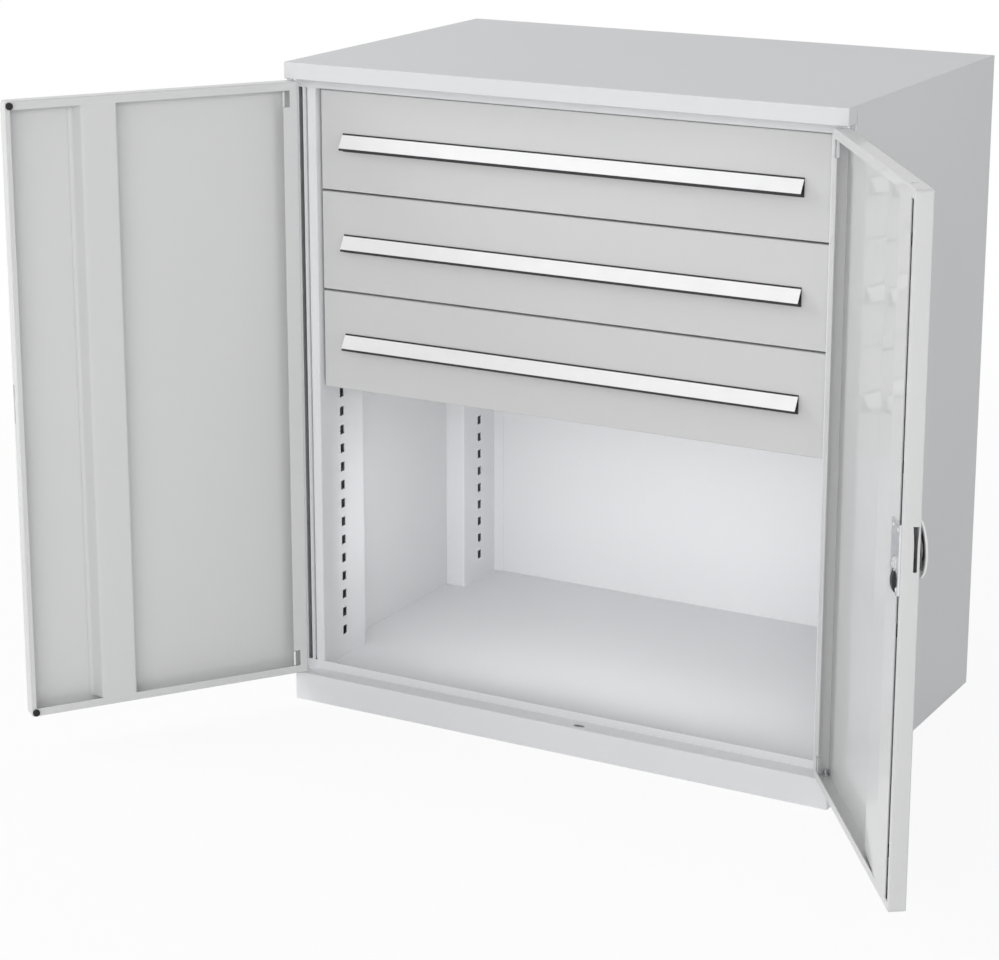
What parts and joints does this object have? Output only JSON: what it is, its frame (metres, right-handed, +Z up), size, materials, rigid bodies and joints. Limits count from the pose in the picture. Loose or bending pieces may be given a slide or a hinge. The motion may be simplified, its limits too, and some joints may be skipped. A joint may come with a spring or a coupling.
{
  "type": "heavy-duty storage cabinet",
  "caption": "Floor-standing steel cabinet with drawers over an open compartment, a pair of hinged doors and a turn handle that works a hook and two lock rods",
  "frame": {"origin": "on the ground under the middle of the carcass, in the underside of the middle base rail", "axes": "+X to the right, -Y to the front and +Z up, in metres"},
  "size_m": [1.4567, 0.978, 1.04],
  "materials": {
    "body_paint": "light grey powder coat",
    "door_paint": "light grey powder coat, semi-gloss",
    "drawer_paint": "light grey powder coat",
    "zinc_steel": "zinc plated",
    "pin_steel": "plain steel",
    "handle_chrome": "polished",
    "label_white": "blank white",
    "black_plastic": "moulded",
    "rubber": "soft black"
  },
  "bodies": {
    "carcass": {"left_side_panel": "body_paint", "right_side_panel": "body_paint", "back_panel": "body_paint", "top_cover": "body_paint", "top_front_rail": "body_paint", "floor_panel": "body_paint", "plinth_front": "body_paint", "plinth_rear": "body_paint", "base_rails": "body_paint", "left_front_upright": "body_paint", "left_rear_upright": "body_paint", "right_front_upright": "body_paint", "right_rear_upright": "body_paint", "left_hinge_pins": "pin_steel", "right_hinge_pins": "pin_steel", "drawer_1_outer_rails": "zinc_steel", "drawer_2_outer_rails": "zinc_steel", "drawer_3_outer_rails": "zinc_steel"},
    "left_door": {"left_door_shell": "door_paint", "left_door_stiffener": "door_paint", "left_door_bumpers": "rubber", "left_hinge_bushes": "zinc_steel"},
    "right_door": {"right_door_shell": "door_paint", "right_door_stiffener": "door_paint", "right_hinge_bushes": "zinc_steel", "lock_case": "zinc_steel", "lock_case_screws": "zinc_steel", "lock_grip": "black_plastic", "rod_guides": "black_plastic", "handle_rose": "handle_chrome"},
    "turn_handle": {"turn_handle": "handle_chrome", "handle_spindle": "zinc_steel", "hook_plate": "zinc_steel", "rod_cam": "zinc_steel"},
    "lock_plug": {"lock_plug": "handle_chrome"},
    "upper_rod": {"upper_rod": "zinc_steel"},
    "lower_rod": {"lower_rod": "zinc_steel"},
    "drawer_1": {"drawer_1_inner_rails": "zinc_steel", "drawer_1_tray": "drawer_paint", "drawer_1_front": "drawer_paint", "drawer_1_handle": "black_plastic", "drawer_1_label": "label_white"},
    "drawer_1_slide": {"drawer_1_middle_rails": "zinc_steel"},
    "drawer_2": {"drawer_2_inner_rails": "zinc_steel", "drawer_2_tray": "drawer_paint", "drawer_2_front": "drawer_paint", "drawer_2_handle": "black_plastic", "drawer_2_label": "label_white"},
    "drawer_2_slide": {"drawer_2_middle_rails": "zinc_steel"},
    "drawer_3": {"drawer_3_inner_rails": "zinc_steel", "drawer_3_tray": "drawer_paint", "drawer_3_front": "drawer_paint", "drawer_3_handle": "black_plastic", "drawer_3_label": "label_white"},
    "drawer_3_slide": {"drawer_3_middle_rails": "zinc_steel"}
  },
  "joints": [
    {"name": "left_door_swing", "type": "hinge", "parent": "carcass", "child": "left_door", "pos_m": [-0.458, -0.2928, 0.53], "axis": [0, 0, -1], "range_deg": [-125, 0]},
    {"name": "right_door_swing", "type": "hinge", "parent": "carcass", "child": "right_door", "pos_m": [0.458, -0.2928, 0.53], "axis": [0, 0, 1], "range_deg": [-125, 0]},
    {"name": "handle_turn", "type": "hinge", "parent": "right_door", "child": "turn_handle", "pos_m": [0.69964, -0.62534, 0.536], "axis": [-0.8192, -0.5736, 0], "range_deg": [-90, 0]},
    {"name": "plug_turn", "type": "hinge", "parent": "turn_handle", "child": "lock_plug", "pos_m": [0.69964, -0.62534, 0.536], "axis": [-0.8192, -0.5736, 0], "range_deg": [0, 90]},
    {"name": "upper_rod_slide", "type": "slide", "parent": "right_door", "child": "upper_rod", "axis": [0, 0, -1], "range_m": [-0.0151, 0]},
    {"name": "lower_rod_slide", "type": "slide", "parent": "right_door", "child": "lower_rod", "axis": [0, 0, 1], "range_m": [-0.0151, 0]},
    {"name": "drawer_1_slide_out", "type": "slide", "parent": "carcass", "child": "drawer_1", "axis": [0, -1, 0], "range_m": [0, 0.43]},
    {"name": "drawer_1_middle_slide", "type": "slide", "parent": "carcass", "child": "drawer_1_slide", "axis": [0, -1, 0], "range_m": [0, 0.2151]},
    {"name": "drawer_2_slide_out", "type": "slide", "parent": "carcass", "child": "drawer_2", "axis": [0, -1, 0], "range_m": [0, 0.43]},
    {"name": "drawer_2_middle_slide", "type": "slide", "parent": "carcass", "child": "drawer_2_slide", "axis": [0, -1, 0], "range_m": [0, 0.2151]},
    {"name": "drawer_3_slide_out", "type": "slide", "parent": "carcass", "child": "drawer_3", "axis": [0, -1, 0], "range_m": [0, 0.43]},
    {"name": "drawer_3_middle_slide", "type": "slide", "parent": "carcass", "child": "drawer_3_slide", "axis": [0, -1, 0], "range_m": [0, 0.2151]}
  ],
  "couplings": [
    {"joint": "upper_rod_slide", "follows": "handle_turn", "m_per_rad": 0.0095493},
    {"joint": "lower_rod_slide", "follows": "handle_turn", "m_per_rad": 0.0095493},
    {"joint": "drawer_1_middle_slide", "follows": "drawer_1_slide_out", "ratio": 0.5},
    {"joint": "drawer_2_middle_slide", "follows": "drawer_2_slide_out", "ratio": 0.5},
    {"joint": "drawer_3_middle_slide", "follows": "drawer_3_slide_out", "ratio": 0.5}
  ]
}
